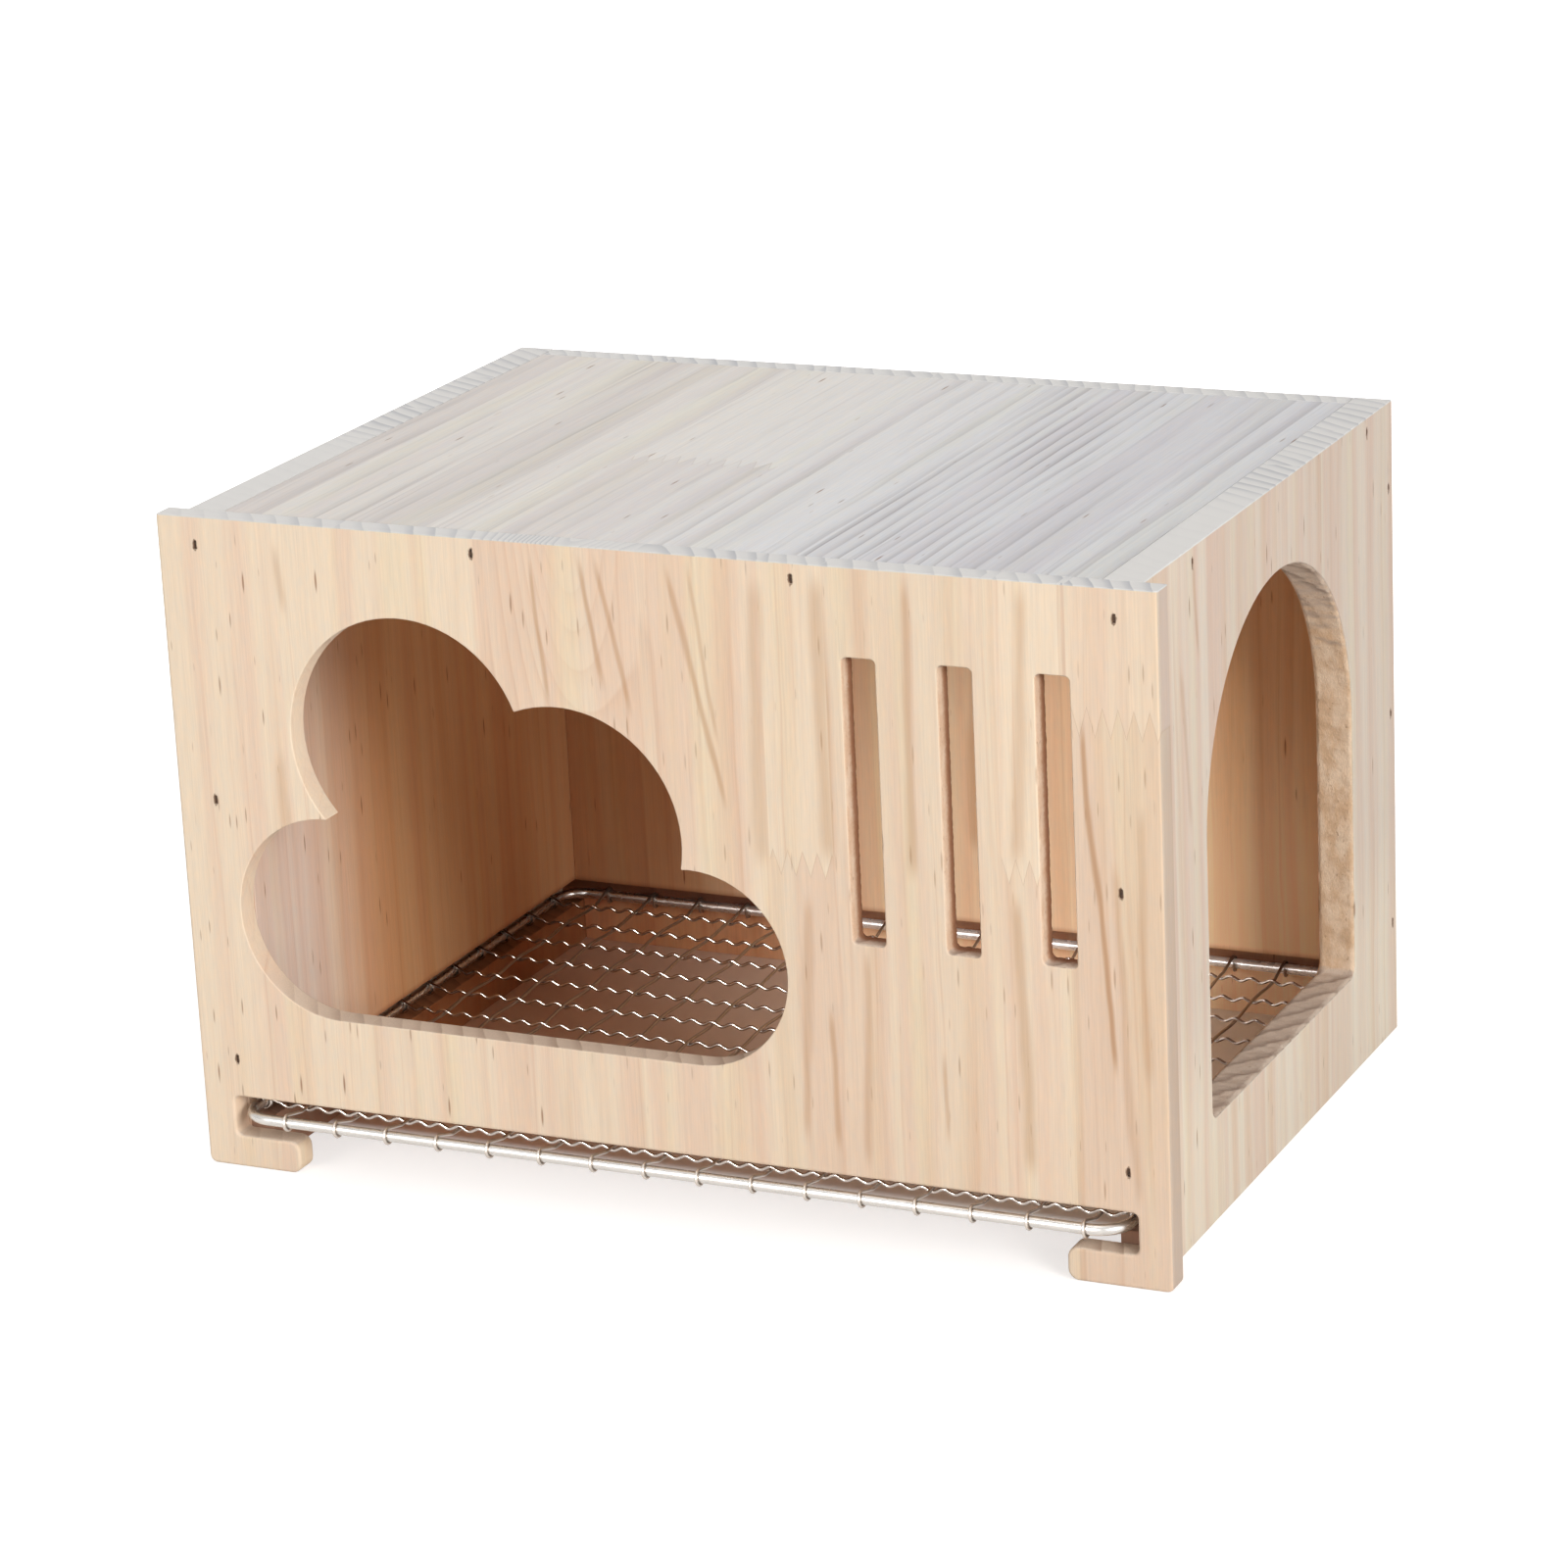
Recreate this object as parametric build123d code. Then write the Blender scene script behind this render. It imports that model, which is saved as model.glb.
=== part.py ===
from build123d import *
from math import ceil, cos, radians, sin, sqrt
import os

# A nailed pine nest box with a cloud-shaped entrance, a side doorway and a woven wire tray.
# All sizes are in millimetres. X runs along the front, Y runs from the front to the back, Z is up.
# The origin is on the ground, at the middle of the box and its tray together.

# Driving sizes of the box
box_width = 300.0
box_depth = 211.0
box_height = 196.0
front_thickness = 7.5
side_thickness = 11.5
back_thickness = 7.5
roof_thickness = 9.0
front_overhang = 6.5

# Feet of the front panel, with the tray's way out above them
ledge_height = 9.8
tray_gap_height = 12.0
tray_gap_inset = 10.0
ledge_length = 30.7
ledge_round = 3.2
foot_round = 2.3
notch_round = 1.8
edge_break = 0.6

# Cloud entrance: across as shares of the box's width, upright and round as shares of its height
cloud_floor_share = 0.252
tall_lobe_x_share = 0.2517
tall_lobe_z_share = 0.6847
tall_lobe_radius_share = 0.1878
middle_lobe_x_share = 0.4107
middle_lobe_z_share = 0.5781
middle_lobe_radius_share = 0.1847
left_lobe_x_share = 0.1593
left_lobe_radius_share = 0.1541
right_lobe_x_share = 0.537
right_lobe_radius_share = 0.1449

# Air slots: the pitch and the end's margin as shares of the box's width, the foot of its height
slot_count = 3
slot_width = 10.0
slot_top_margin = 25.0
slot_round = 1.6
slot_pitch_share = 0.0923
slot_end_margin_share = 0.0837
slot_floor_share = 0.4592

# Side doorway: what it leaves of the box's depth and height round it
door_front_margin = 50.0
door_back_margin = 38.5
door_top_margin = 24.8
door_sill = 30.2
door_round = 3.5

# Grooves that the tray slides in
groove_floor = 13.5
groove_depth = 7.8
tray_drop_clearance = 0.3
tray_side_clearance = 0.45

# Wire tray
rod_diameter = 3.2
wire_diameter = 1.0
corner_radius = 9.0
tray_lead = 2.6
tray_setback = 5.2
warp_count = 16
warp_left_margin = 15.0
warp_right_margin = 10.56
weft_count = 12
weft_margin = 12.35
crimps_per_cell = 3
weave_gap = 0.04
wrap_gap = 0.05
wrap_start = 60.0
wrap_turn = 180.0
wrap_steps = 3

# Brad nails
nail_length = 30.0
nail_width = 1.2
nail_thickness = 1.0
nail_head_width = 2.6
nail_head_height = 0.8
nail_sink = 0.6
nail_tip = 2.5
nail_fit = 0.03
corner_nail_drop = 8.3
corner_nail_low = 33.5
corner_nail_middle_share = 0.574
back_nail_drop = 26.0
back_nail_low = 35.0
back_nail_middle_share = 0.5153
roof_nail_spacing = 96.0
roof_nail_offset = -2.0
side_nail_front_margin = 43.0
side_nail_back_margin = 23.0

# A cut runs this far past the face that it opens
overrun = 2.0

# Places worked out from the sizes
rod_radius = rod_diameter / 2
wire_radius = wire_diameter / 2
wrap_half_step = radians(wrap_turn / wrap_steps / 2)
wrap_bend = (rod_radius + wrap_gap + wire_radius) / cos(wrap_half_step)
wrap_reach = (rod_radius + wrap_gap + wire_diameter) / cos(wrap_half_step)
tray_proud = tray_lead + wrap_reach
front_y = (tray_proud - box_depth) / 2
wall_y = front_y + front_thickness
rear_y = front_y + box_depth
back_y = rear_y - back_thickness
front_end = box_width / 2
outer_x = front_end - front_overhang
inner_x = outer_x - side_thickness
groove_x = inner_x + groove_depth
gap_top = ledge_height + tray_gap_height
rod_x = groove_x - tray_side_clearance - wrap_reach
rod_front_y = front_y - tray_lead
rod_back_y = rear_y - tray_setback
rod_z = groove_floor + tray_drop_clearance + wrap_reach
warp_pitch = (2 * rod_x - warp_left_margin - warp_right_margin) / (warp_count - 1)
weft_pitch = (rod_back_y - rod_front_y - 2 * weft_margin) / (weft_count - 1)
crimp_pitch = warp_pitch / crimps_per_cell


def crimp_rise():
    """Height of a crest above the weave's middle, at which crossing wires just clear."""
    rise = wire_radius
    for _ in range(12):
        steep = 2 * rise / crimp_pitch
        gentle = 2 * rise / weft_pitch
        lean = sqrt(1 + steep ** 2)
        rise = (wire_diameter * lean + (steep + gentle) * wire_radius + weave_gap) / 2
    return rise


# Panels

def upright(outline, near_y, thickness):
    """Solid of a front-view outline, from near_y towards the back."""
    plane = Plane(origin=(0, near_y, 0), x_dir=(1, 0, 0), z_dir=(0, -1, 0))
    return extrude(plane * outline, amount=-thickness)


def sideways(outline, left_x, thickness):
    """Solid of a side-view outline, from left_x towards the right."""
    plane = Plane(origin=(left_x, 0, 0), x_dir=(0, 1, 0), z_dir=(1, 0, 0))
    return extrude(plane * outline, amount=thickness)


def block(x0, x1, y0, y1, z0, z1):
    """Box between two corners."""
    middle = ((x0 + x1) / 2, (y0 + y1) / 2, (z0 + z1) / 2)
    return Pos(*middle) * Box(x1 - x0, y1 - y0, z1 - z0)


def rectangle(x0, x1, z0, z1):
    """Rectangle between two corners."""
    return Pos((x0 + x1) / 2, (z0 + z1) / 2) * Rectangle(x1 - x0, z1 - z0)


def corners_near(outline, x, z):
    """The outline's corner nearest to a point and its mirror image."""
    right = outline.vertices().sort_by_distance((x, z, 0))[0]
    left = outline.vertices().sort_by_distance((-x, z, 0))[0]
    return [right, left]


def front_outline():
    """Front panel with its two L-shaped feet."""
    tip_x = front_end - ledge_length
    notch_x = front_end - tray_gap_inset
    outline = rectangle(-front_end, front_end, 0, box_height)
    outline -= rectangle(-notch_x, notch_x, ledge_height, gap_top)
    outline -= rectangle(-tip_x, tip_x, -overrun, gap_top)
    outline = fillet(corners_near(outline, tip_x, ledge_height), ledge_round)
    outline = fillet(corners_near(outline, tip_x, 0), ledge_round)
    outline = fillet(corners_near(outline, notch_x, gap_top), notch_round)
    outline = fillet(corners_near(outline, notch_x, ledge_height), notch_round)
    return fillet(corners_near(outline, front_end, 0), foot_round)


def lobes():
    """Middle and radius of the cloud's lobes. The two low ones stand on its floor."""
    floor = cloud_floor_share * box_height
    left_radius = left_lobe_radius_share * box_height
    right_radius = right_lobe_radius_share * box_height
    tall = (tall_lobe_x_share, tall_lobe_z_share * box_height, tall_lobe_radius_share * box_height)
    middle = (
        middle_lobe_x_share,
        middle_lobe_z_share * box_height,
        middle_lobe_radius_share * box_height,
    )
    left = (left_lobe_x_share, floor + left_radius, left_radius)
    right = (right_lobe_x_share, floor + right_radius, right_radius)
    return [(share * box_width - front_end, z, r) for share, z, r in (left, tall, middle, right)]


def cloud_outline():
    """Four round lobes over a flat floor."""
    places = lobes()
    floor = cloud_floor_share * box_height
    feet = [(places[-1][0], floor), (places[0][0], floor)]
    cloud = make_face(Polyline(*[(x, z) for x, z, _ in places], *feet, close=True))
    for x, z, radius in places:
        cloud += Pos(x, z) * Circle(radius)
    return cloud


def slot_middle(index):
    """Middle of an air slot, counted from the right."""
    first = front_end - slot_end_margin_share * box_width - slot_width / 2
    return first - index * slot_pitch_share * box_width


def slot_outline(index):
    """One upright air slot."""
    floor = slot_floor_share * box_height
    height = box_height - slot_top_margin - floor
    slot = RectangleRounded(slot_width, height, slot_round)
    return Pos(slot_middle(index), floor + height / 2) * slot


def door_outline():
    """Round-topped doorway, as seen from the right."""
    half = (box_depth - door_front_margin - door_back_margin) / 2
    middle = front_y + door_front_margin + half
    spring = box_height - door_top_margin - half
    opening = rectangle(middle - half, middle + half, door_sill, spring)
    sill = opening.vertices().sort_by(Axis.Y)[:2]
    opening = fillet(sill, door_round)
    return opening + Pos(middle, spring) * Circle(half)


def front_panel():
    """Front panel: cloud, slots, feet and the tray's way out."""
    outline = front_outline() - cloud_outline()
    for index in range(slot_count):
        outline -= slot_outline(index)
    panel = upright(outline, front_y, front_thickness)
    outer = panel.edges().filter_by(Axis.Z).group_by(Axis.X)
    rim = [edge for edge in outer[0] + outer[-1] if edge.center().Y < wall_y - edge_break]
    return chamfer(rim, edge_break) - nail_holes()


def side_board():
    """Right side panel before its doorway, with the groove along its inner face."""
    board = block(inner_x, outer_x, wall_y, rear_y, 0, box_height)
    groove = block(
        inner_x - overrun, groove_x,
        wall_y - overrun, rear_y + overrun,
        groove_floor, gap_top,
    )
    return board - groove


def right_side_panel():
    """Right side panel with the round-topped doorway."""
    opening = sideways(door_outline(), inner_x - overrun, side_thickness + 2 * overrun)
    return side_board() - opening - nail_holes()


def left_side_panel():
    """Left side panel, closed, with the same groove."""
    return mirror(side_board(), about=Plane.YZ) - nail_holes()


def back_panel():
    """Back panel, held between the side panels and ending above the tray."""
    panel = block(-inner_x, inner_x, back_y, rear_y, gap_top, box_height)
    return panel - nail_holes()


def roof_panel():
    """Roof panel, let in flush between the four walls."""
    under = box_height - roof_thickness
    panel = block(-inner_x, inner_x, wall_y, back_y, under, box_height)
    return panel - nail_holes()


# Nails

def nail_outline(grow, head_top):
    """Side view of a brad: flat head, shank and chisel point. Depth runs down from the surface."""
    head = nail_head_width / 2 + grow
    shank = nail_width / 2 + grow
    neck = -nail_sink - nail_head_height - grow
    shoulder = nail_tip - nail_length
    return make_face(Polyline(
        (-head, head_top),
        (head, head_top),
        (head, neck),
        (shank, neck),
        (shank, shoulder),
        (0, -nail_length - grow),
        (-shank, shoulder),
        (-shank, neck),
        (-head, neck),
        close=True,
    ))


def placed(outline, thickness, point, outward):
    """Flat outline made solid at a nail's place, its long way upright."""
    across = Vector(*outward).cross(Vector(0, 0, 1))
    plane = Plane(origin=point, x_dir=(0, 0, 1), z_dir=across)
    if plane.y_dir.dot(Vector(*outward)) < 0:
        plane = Plane(origin=point, x_dir=(0, 0, 1), z_dir=-across)
    return extrude(plane * outline, amount=thickness / 2, both=True)


def nail(point, outward):
    """One brad, driven below the surface."""
    return placed(nail_outline(0, -nail_sink), nail_thickness, point, outward)


def nail_hole(point, outward):
    """The hole that a brad leaves, open to the surface."""
    return placed(nail_outline(nail_fit, overrun), nail_thickness + 2 * nail_fit, point, outward)


def nail_places():
    """Every nail, by the joint that it holds: its point on the surface and the way it faces."""
    roof_z = box_height - roof_thickness / 2
    corner_x = (inner_x + outer_x) / 2
    back_mid_y = (back_y + rear_y) / 2
    corner_z = (
        box_height - corner_nail_drop,
        corner_nail_middle_share * box_height,
        corner_nail_low,
    )
    back_z = (box_height - back_nail_drop, back_nail_middle_share * box_height, back_nail_low)
    roof_x = [roof_nail_offset + side * roof_nail_spacing / 2 for side in (-1, 1)]
    side_y = (front_y + side_nail_front_margin, rear_y - side_nail_back_margin)
    front = (0, -1, 0)
    rear = (0, 1, 0)
    places = {
        "nails_front_to_roof": [((x, front_y, roof_z), front) for x in roof_x],
        "nails_back_to_roof": [((x, rear_y, roof_z), rear) for x in roof_x],
    }
    for name, side in (("left", -1), ("right", 1)):
        out = (side, 0, 0)
        face = side * outer_x
        places["nails_front_to_" + name] = [((side * corner_x, front_y, z), front) for z in corner_z]
        places["nails_" + name + "_to_roof"] = [((face, y, roof_z), out) for y in side_y]
        places["nails_" + name + "_to_back"] = [((face, back_mid_y, z), out) for z in back_z]
    return places


def nail_holes():
    """All nail holes as one tool."""
    holes = [nail_hole(*spot) for spots in nail_places().values() for spot in spots]
    return Compound(children=holes)


# Tray

def tray_frame():
    """Rod bent into a closed frame with round corners."""
    bend_x = rod_x - corner_radius
    bend_y = rod_front_y + corner_radius
    middle_y = (rod_front_y + rod_back_y) / 2
    across = Circle(rod_radius)
    middle = Plane(origin=(0, middle_y, 0), z_dir=(0, 1, 0))
    front_start = Plane(origin=(-bend_x, rod_front_y, rod_z), z_dir=(1, 0, 0))
    bend_start = Plane(origin=(bend_x, rod_front_y, rod_z), z_dir=(1, 0, 0))
    side_start = Plane(origin=(rod_x, bend_y, rod_z), z_dir=(0, 1, 0))
    front = extrude(front_start * across, 2 * bend_x)
    side = extrude(side_start * across, 2 * (middle_y - bend_y))
    bend = revolve(bend_start * across, Axis((bend_x, bend_y, rod_z), (0, 0, 1)), 90)
    right = bend + side + mirror(bend, about=middle)
    return front + right + mirror(front, about=middle) + mirror(right, about=Plane.YZ)


def wrap_points(rod, side):
    """Middle line of a wire's end, wound over the rod and under it."""
    points = []
    for step in range(wrap_steps + 1):
        angle = radians(wrap_start + step * wrap_turn / wrap_steps)
        points.append((rod + side * wrap_bend * cos(angle), wrap_bend * sin(angle)))
    return points


def offset_point(before, point, after, reach):
    """Point beside a bend, at the same distance from both runs."""
    first = (Vector(*point) - Vector(*before)).normalized()
    second = (Vector(*after) - Vector(*point)).normalized()
    normal = Vector(-first.Y - second.Y, first.X + second.X).normalized()
    shift = reach / normal.dot(Vector(-first.Y, first.X))
    return (point[0] + normal.X * shift, point[1] + normal.Y * shift)


def ribbon(points):
    """Face of the wire's width along a line of points."""
    first = (2 * points[0][0] - points[1][0], 2 * points[0][1] - points[1][1])
    last = (2 * points[-1][0] - points[-2][0], 2 * points[-1][1] - points[-2][1])
    line = [first] + points + [last]
    turns = list(zip(line, line[1:], line[2:]))
    upper = [offset_point(a, b, c, wire_radius) for a, b, c in turns]
    lower = [offset_point(a, b, c, -wire_radius) for a, b, c in turns]
    return make_face(Polyline(*upper, *reversed(lower), close=True))


def wire_line(near_rod, far_rod, bends, first_sign):
    """Middle line of a wire: wrapped end, bends up and down in turn, wrapped end."""
    rise = crimp_rise()
    line = list(reversed(wrap_points(near_rod, 1)))
    for index, place in enumerate(bends):
        line.append((place, first_sign * rise * (-1) ** index))
    return line + wrap_points(far_rod, -1)


def weft_bends():
    """Places of a weft wire's crimps, with one on every warp wire."""
    room = wrap_bend + crimp_pitch / 2
    first_warp = warp_left_margin - rod_x
    before = int((warp_left_margin - room) // crimp_pitch)
    after = int((warp_right_margin - room) // crimp_pitch)
    crimps = (warp_count - 1) * crimps_per_cell + before + after
    start = first_warp - before * crimp_pitch
    sign = (-1) ** before
    return [start + step * crimp_pitch for step in range(crimps + 1)], sign


def weft_wire(index):
    """Wire from side to side, crimped all along, over and under the warp wires in turn."""
    bends, sign = weft_bends()
    line = wire_line(-rod_x, rod_x, bends, sign * (-1) ** index)
    y = rod_front_y + weft_margin + index * weft_pitch
    plane = Plane(origin=(0, y, rod_z), x_dir=(1, 0, 0), z_dir=(0, -1, 0))
    return extrude(plane * ribbon(line), amount=wire_radius, both=True)


def warp_wire(index):
    """Wire from front to back, bent only where it crosses a weft wire."""
    places = [rod_front_y + weft_margin + step * weft_pitch for step in range(weft_count)]
    line = wire_line(rod_front_y, rod_back_y, places, -((-1) ** index))
    x = warp_left_margin - rod_x + index * warp_pitch
    plane = Plane(origin=(x, 0, rod_z), x_dir=(0, 1, 0), z_dir=(1, 0, 0))
    return extrude(plane * ribbon(line), amount=wire_radius, both=True)


def write_part(name, shape):
    """Write one piece, or one group of like pieces, under its node name."""
    export_step(shape, "parts/" + name + ".step")


os.makedirs("parts", exist_ok=True)
write_part("front_panel", front_panel())
write_part("left_side_panel", left_side_panel())
write_part("right_side_panel", right_side_panel())
write_part("back_panel", back_panel())
write_part("roof_panel", roof_panel())
for joint_name, spots in nail_places().items():
    write_part(joint_name, Compound(children=[nail(*spot) for spot in spots]))
write_part("tray_frame", tray_frame())
for number in range(warp_count):
    write_part(f"warp_wire_{number + 1:02d}", warp_wire(number))
for number in range(weft_count):
    write_part(f"weft_wire_{number + 1:02d}", weft_wire(number))
print("warp wires", warp_count, "weft wires", weft_count)
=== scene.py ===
import math

import bmesh
import bpy
from mathutils import Euler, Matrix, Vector, noise


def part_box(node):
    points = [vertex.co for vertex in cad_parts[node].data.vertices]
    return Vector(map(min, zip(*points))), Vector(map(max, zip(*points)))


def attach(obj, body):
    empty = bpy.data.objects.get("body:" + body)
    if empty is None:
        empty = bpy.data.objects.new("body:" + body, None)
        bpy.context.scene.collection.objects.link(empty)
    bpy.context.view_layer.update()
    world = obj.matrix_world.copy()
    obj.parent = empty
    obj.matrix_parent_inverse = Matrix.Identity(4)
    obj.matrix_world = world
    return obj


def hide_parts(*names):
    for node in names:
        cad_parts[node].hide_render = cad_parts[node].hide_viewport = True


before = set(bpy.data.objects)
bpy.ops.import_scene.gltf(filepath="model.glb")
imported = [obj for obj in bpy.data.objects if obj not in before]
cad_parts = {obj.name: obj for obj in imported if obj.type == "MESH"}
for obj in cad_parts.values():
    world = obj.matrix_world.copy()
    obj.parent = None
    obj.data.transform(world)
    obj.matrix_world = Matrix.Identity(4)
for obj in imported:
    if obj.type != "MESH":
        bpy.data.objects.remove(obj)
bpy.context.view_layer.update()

# Looks of a pine nest box with a wire tray. Sizes are in millimetres until they reach a mesh.
MM = 0.001


def box_of(node):
    """Lowest and highest corner of a solid's box, in millimetres."""
    return [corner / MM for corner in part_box(node)]


# Sizes of the box, from its solids
front_low, front_high = box_of("front_panel")
side_low, side_high = box_of("right_side_panel")
back_low, back_high = box_of("back_panel")
BOX_W, BOX_D, BOX_H = front_high.x - front_low.x, back_high.y - front_low.y, front_high.z
FRONT_Y, WALL_Y = front_low.y, front_high.y
INNER_X, OUTER_X = side_low.x, side_high.x
BACK_Y, REAR_Y, BACK_FOOT = back_low.y, back_high.y, back_low.z
ROOF_UNDER = box_of("roof_panel")[0].z
GROOVE_X, GROOVE_Z = 139.8, 13.5

# Openings, as in the solids
DOOR_Y, DOOR_HALF, DOOR_SILL, DOOR_SPRING, DOOR_ROUND = FRONT_Y + 111.25, 61.25, 30.2, 109.95, 3.5
SLOTS, SLOT_HALF, SLOT_LOW, SLOT_HIGH, SLOT_ROUND = 3, 5.0, 90.0, 171.0, 1.6
SLOT_END_MARGIN, SLOT_PITCH = 25.11, 27.69

# Sizes of the tray, as in its solids
ROD_X, ROD_FRONT, ROD_BACK, ROD_Z = 136.29, -105.27, 103.13, 16.86
ROD_R, WIRE_R, CORNER_R = 1.6, 0.5, 9.0
WARPS, WARP_PITCH = 16, 16.467
WEFTS, WEFT_PITCH = 12, 16.7
FIRST_WARP, FIRST_WEFT = -121.29, -92.92

# How finely the frame's corners and straight rods are divided
CORNER_STEPS, ROD_PIECE = 12, 8

# The woven wires: crimp and bend, sag below the frame, and the windings on the rods
CRIMPS, CRIMP_RISE, CRIMP_STEPS = 5, 0.60, 6
BEND_RISE, BEND_STEPS, STRAIGHT_END = 0.47, 12, 4.0
SLACK, SLACK_BACK, LEAN_X, LEAN_Y = 0.9, 0.7, 0.9, 0.4
TURN_FROM, TURN, TURN_CREEP, TURN_STEPS, TURN_PLAY = 75.0, 300.0, 0.95, 12, 0.03

# The batten behind the tray: its play in the grooves and below the back, how far it stays within the back's
# outer face, and its softened edges
BATTEN_Y, BATTEN_PLAY, BATTEN_TOP_PLAY, BATTEN_SHY, BATTEN_EDGE = 106.0, 0.1, 0.05, 0.02, 0.3

# Rough skins in the openings: rows of faces, and how far the rims go into the wood
SKIN_ROWS, SKIN_RIM = 14, 0.45

# Nails: how near each other one nail's corners are, and how near its middle a hole's edges are
NAIL_APART, NAIL_REACH = 6.0, 2.0

# The painted shade low inside the box: its height, and how far it reaches into the grooves
LOW_ZONE_TOP, GROOVE_REACH = 21.0, 7.0

# The floor: its size in metres, where the warm painted shade under the box ends, and where the white glow
# begins and is whole
FLOOR_SIZE = 8
UNDER_SIDE, UNDER_FRONT, UNDER_REAR = (141, 137), (-70, -60), (108, 106)
GLOW_RANGE = (300, 900)


def tone(red, green, blue):
    """Colour given in screen values, as linear light."""
    parts = []
    for value in (red, green, blue):
        share = value / 255
        parts.append(share / 12.92 if share <= 0.04045 else ((share + 0.055) / 1.055) ** 2.4)
    return (*parts, 1.0)


WHITE = (1.0, 1.0, 1.0, 1.0)
CREAM, PEACH, RING = tone(236, 214, 188), tone(231, 200, 174), tone(212, 168, 135)
FLECK, STREAK, SEAM, STAIN = tone(150, 106, 74), tone(186, 138, 96), tone(160, 112, 76), tone(112, 76, 52)
CUT_PALE, CUT_DARK = tone(216, 196, 180), tone(158, 122, 98)
TOP_PALE, TOP_DARK = tone(211, 210, 208), tone(140, 146, 158)
# Painted shade for the low zone inside the box, and the colour of a painted shadow line
LOW_SHADE_TINT, SHADOW_TINT = tone(176, 132, 104), tone(128, 84, 58)
STRAW_TINT = (0.985, 0.985, 0.9, 1.0)
MOTTLE_TINTS = [(0.3, (1.02, 1.0, 0.975, 1.0)), (0.7, (0.965, 0.99, 1.02, 1.0))]
# Painted light from the doorway on the inner faces, and the painted shade beyond it
DOOR_LIT_TINT, DOOR_SHADE_TINT = (1.24, 1.04, 0.79, 1.0), (0.74, 0.44, 0.23, 1.0)


class Tree:
    """One material and the nodes that make it. axes are places on the piece, in millimetres."""

    def __init__(self, name, metallic=0.0, roughness=0.5):
        self.material = bpy.data.materials.new(name)
        self.material.use_nodes = True
        self.nodes = self.material.node_tree.nodes
        self.links = self.material.node_tree.links
        self.shader = self.nodes["Principled BSDF"]
        self.shader.inputs["Metallic"].default_value = metallic
        self.shader.inputs["Roughness"].default_value = roughness
        self.place = self.nodes.new("ShaderNodeTexCoord")
        split = self.nodes.new("ShaderNodeSeparateXYZ")
        self.links.new(self.place.outputs["Object"], split.inputs[0])
        self.axes = {a: self.math("MULTIPLY", split.outputs[a], 1 / MM) for a in "XYZ"}

    def feed(self, socket, value):
        """Give a socket a constant or another node's output."""
        if isinstance(value, bpy.types.NodeSocket):
            self.links.new(value, socket)
        else:
            socket.default_value = value

    def math(self, operation, *values):
        node = self.nodes.new("ShaderNodeMath")
        node.operation = operation
        for socket, value in zip(node.inputs, values):
            self.feed(socket, value)
        return node.outputs[0]

    def add(self, *values):
        total = values[0]
        for value in values[1:]:
            total = self.math("ADD", total, value)
        return total

    def times(self, *values):
        total = values[0]
        for value in values[1:]:
            total = self.math("MULTIPLY", total, value)
        return total

    def minus(self, value, other):
        return self.math("SUBTRACT", value, other)

    def over(self, value, other):
        return self.math("DIVIDE", value, other)

    def unsigned(self, value):
        return self.math("ABSOLUTE", value)

    def hypot(self, first, second):
        return self.math("SQRT", self.add(self.times(first, first), self.times(second, second)))

    def between(self, share, low, high):
        """Plain value that is low where share is 0 and high where it is 1."""
        return self.math("MULTIPLY_ADD", share, high - low, low)

    def step(self, value, low, high):
        """Smooth step from 0 at low to 1 at high."""
        node = self.nodes.new("ShaderNodeMapRange")
        node.interpolation_type = "SMOOTHSTEP"
        for socket, given in zip(node.inputs, (value, low, high)):
            self.feed(socket, given)
        return node.outputs[0]

    def from_level(self, value, level):
        """1 from a face's level on, counting a hair's breadth before it."""
        return self.step(value, level - 0.5, level - 0.2)

    def to_level(self, value, level):
        """1 up to a face's level, counting a hair's breadth after it."""
        return self.step(value, level + 0.5, level + 0.2)

    def point(self, x, y, z):
        node = self.nodes.new("ShaderNodeCombineXYZ")
        for socket, value in zip(node.inputs, (x, y, z)):
            self.feed(socket, value)
        return node.outputs[0]

    def noise(self, vector, detail=2.0, rough=0.5):
        node = self.nodes.new("ShaderNodeTexNoise")
        self.feed(node.inputs["Vector"], vector)
        node.inputs["Scale"].default_value = 1.0
        node.inputs["Detail"].default_value = detail
        node.inputs["Roughness"].default_value = rough
        return node.outputs[0]

    def speckle(self, x, y, z, detail, rough):
        """Noise over the piece, with its fineness along each axis."""
        parts = [self.times(self.axes[axis], fine) for axis, fine in zip("XYZ", (x, y, z))]
        return self.noise(self.point(*parts), detail, rough)

    def cells(self, vector):
        """Distance to the nearest of scattered points, and two random values for that point."""
        node = self.nodes.new("ShaderNodeTexVoronoi")
        self.feed(node.inputs["Vector"], vector)
        node.voronoi_dimensions = "2D"
        node.inputs["Scale"].default_value = 1.0
        values = self.parts(node.outputs["Color"])
        return node.outputs["Distance"], values[0], values[1]

    def ramp(self, value, stops, constant=False):
        node = self.nodes.new("ShaderNodeValToRGB")
        ramp = node.color_ramp
        ramp.interpolation = "CONSTANT" if constant else "LINEAR"
        while len(ramp.elements) < len(stops):
            ramp.elements.new(1.0)
        for element, (place, colour) in zip(ramp.elements, stops):
            element.position = place
            element.color = colour if isinstance(colour, tuple) else (colour,) * 3 + (1.0,)
        self.feed(node.inputs[0], value)
        return node.outputs[0]

    def mix(self, share, first, second, mode="MIX"):
        node = self.nodes.new("ShaderNodeMix")
        node.data_type = "RGBA"
        node.blend_type = mode
        for index, value in ((0, share), (6, first), (7, second)):
            self.feed(node.inputs[index], value)
        return node.outputs[2]

    def tinted(self, colour, tint, share=None):
        """Colour multiplied by a tint, as far as share says."""
        whole = self.mix(1.0, colour, tint, "MULTIPLY")
        return whole if share is None else self.mix(share, colour, whole)

    def parts(self, colour):
        node = self.nodes.new("ShaderNodeSeparateColor")
        self.links.new(colour, node.inputs[0])
        return node.outputs

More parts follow.
